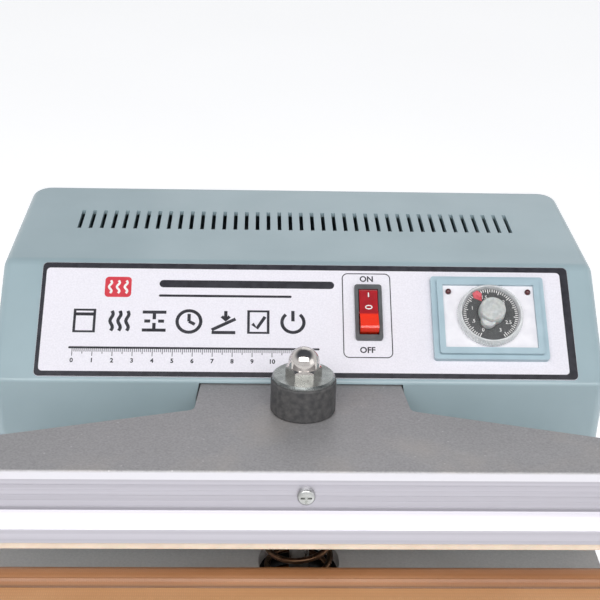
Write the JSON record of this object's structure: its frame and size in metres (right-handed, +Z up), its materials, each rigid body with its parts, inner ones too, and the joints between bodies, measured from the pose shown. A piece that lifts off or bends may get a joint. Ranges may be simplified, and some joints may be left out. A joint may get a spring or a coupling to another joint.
{
  "type": "impulse heat sealer",
  "caption": "Foot-pedal impulse bag sealer on a column stand: hinged upper jaw with silicone strip over a heated lower jaw, vented control housing with switch and timer dial.",
  "frame": {"origin": "on the floor, at the middle of the overall box", "axes": "+Z up; the operator stands at -Y and faces +Y; +X is the operator's right, along the jaw"},
  "size_m": [0.45, 0.446, 0.9],
  "materials": {
    "stand_paint": "powder coat, grey-blue, fine orange peel",
    "housing_paint": "grey-blue stove enamel on a pressed steel cover, satin",
    "black_paint": "black stove enamel",
    "black_rubber": "matte moulded rubber",
    "black_plastic": "moulded, fine texture",
    "cast_aluminium": "fine cast and sanded plate, dull grey",
    "extruded_aluminium": "drawn extrusion, bright, fine lines along its length",
    "zinc_steel": "zinc-plated",
    "chrome_steel": "bright nickel plate",
    "spring_steel": "oil-tempered wire with a copper-brown tint",
    "phenolic": "pressed insulating board",
    "nichrome": "rolled resistance band",
    "ptfe_cloth": "brown fluoropolymer-coated glass cloth, fine weave, slight sheen",
    "silicone": "cream silicone, matte",
    "brass": "machined",
    "wire_skin": "heat-resistant silicone wire, red",
    "label_film": "silver printed plate with a dark border, satin lacquer",
    "switch_plastic": "moulded",
    "rocker_red": "translucent red, glossy",
    "bezel_blue": "moulded, light blue",
    "face_white": "printed white plate",
    "lamp_red": "dark red lens",
    "clear_dial": "clear moulded acrylic rim",
    "dial_black": "printed disc",
    "iron_core": "varnished laminations",
    "copper_winding": "winding under yellow insulating tape",
    "bronze": "sintered bronze, oiled",
    "turned_steel": "turned and ground"
  },
  "bodies": {
    "stand": {"base_feet": "stand_paint", "foot_pads": "black_rubber", "foot_end_caps": "black_plastic", "cross_tube": "stand_paint", "column": "stand_paint", "head_plate": "stand_paint", "frame_bolts": "zinc_steel", "deck_plate": "cast_aluminium", "spring_seat": "black_paint", "return_spring": "spring_steel", "lower_jaw_bar": "extruded_aluminium", "heater_insulators": "phenolic", "heating_band": "nichrome", "ptfe_cover": "ptfe_cloth", "ptfe_clamps": "extruded_aluminium", "clamp_screws": "zinc_steel", "heater_terminals": "brass", "housing": "housing_paint", "housing_clips": "zinc_steel", "back_cover": "housing_paint", "housing_screws": "zinc_steel", "cable_gland": "black_plastic", "nameplate": "label_film", "switch_body": "switch_plastic", "timer_bezel": "bezel_blue", "timer_face": "face_white", "timer_lamps": "lamp_red", "timer_body": "black_plastic", "timer_scale": "dial_black", "transformer_core": "iron_core", "transformer_coil": "copper_winding", "transformer_frame": "zinc_steel", "terminal_block": "black_plastic", "wiring": "wire_skin", "hinge_brackets": "zinc_steel", "deck_screws": "zinc_steel", "hinge_shaft": "turned_steel", "pedal_bracket": "stand_paint", "pedal_pivot_bolt": "zinc_steel", "limit_switch": "black_plastic"},
    "arm": {"hinge_block": "cast_aluminium", "hinge_bushes": "bronze", "arm_plate": "cast_aluminium", "upper_jaw_bar": "extruded_aluminium", "silicone_strip": "silicone", "arm_screws": "zinc_steel", "bumper": "black_rubber", "bumper_washer": "turned_steel", "acorn_nut": "chrome_steel", "pull_bolt": "zinc_steel", "clevis_pin": "turned_steel"},
    "rod": {"pull_rod": "zinc_steel"},
    "pedal": {"pedal_lever": "stand_paint", "pedal_link_pin": "turned_steel", "pedal_tread": "stand_paint", "tread_mat": "black_rubber"},
    "rocker_body": {"rocker": "rocker_red"},
    "dial": {"timer_dial": "clear_dial"},
    "switch_lever": {"limit_lever": "zinc_steel"}
  },
  "joints": [
    {"name": "pedal_press", "type": "hinge", "parent": "stand", "child": "pedal", "pos_m": [0, -0.01435, 0.095], "axis": [1, 0, 0], "range_deg": [0, 16.05]},
    {"name": "arm_close", "type": "hinge", "parent": "stand", "child": "arm", "pos_m": [0, 0.068, 0.8331], "axis": [1, 0, 0], "range_deg": [0, 5.7], "stiffness_Nm_per_rad": 24, "springref_deg": -22.92, "deforming": ["return_spring"]},
    {"name": "rod_swing", "type": "hinge", "parent": "arm", "child": "rod", "pos_m": [0, -0.06592, 0.70668], "axis": [1, 0, 0], "range_deg": [-6.96, 0]},
    {"name": "limit_lever_turn", "type": "hinge", "parent": "stand", "child": "switch_lever", "pos_m": [0.028, 0.0035, 0.84125], "axis": [1, 0, 0], "range_deg": [-14.05, 0]},
    {"name": "rocker_flip", "type": "hinge", "parent": "stand", "child": "rocker_body", "pos_m": [0.0346, 0.00495, 0.88357], "axis": [1, 0, 0], "range_deg": [0, 22]},
    {"name": "timer_turn", "type": "hinge", "parent": "stand", "child": "dial", "pos_m": [0.0962, -0.00004, 0.8851], "axis": [0, -0.5948, 0.8039], "range_deg": [-195, 135]}
  ],
  "couplings": [
    {"joint": "arm_close", "follows": "pedal_press", "ratio": 0.35516},
    {"joint": "rod_swing", "follows": "pedal_press", "ratio": -0.43311},
    {"joint": "limit_lever_turn", "follows": "pedal_press", "ratio": -0.87455}
  ]
}
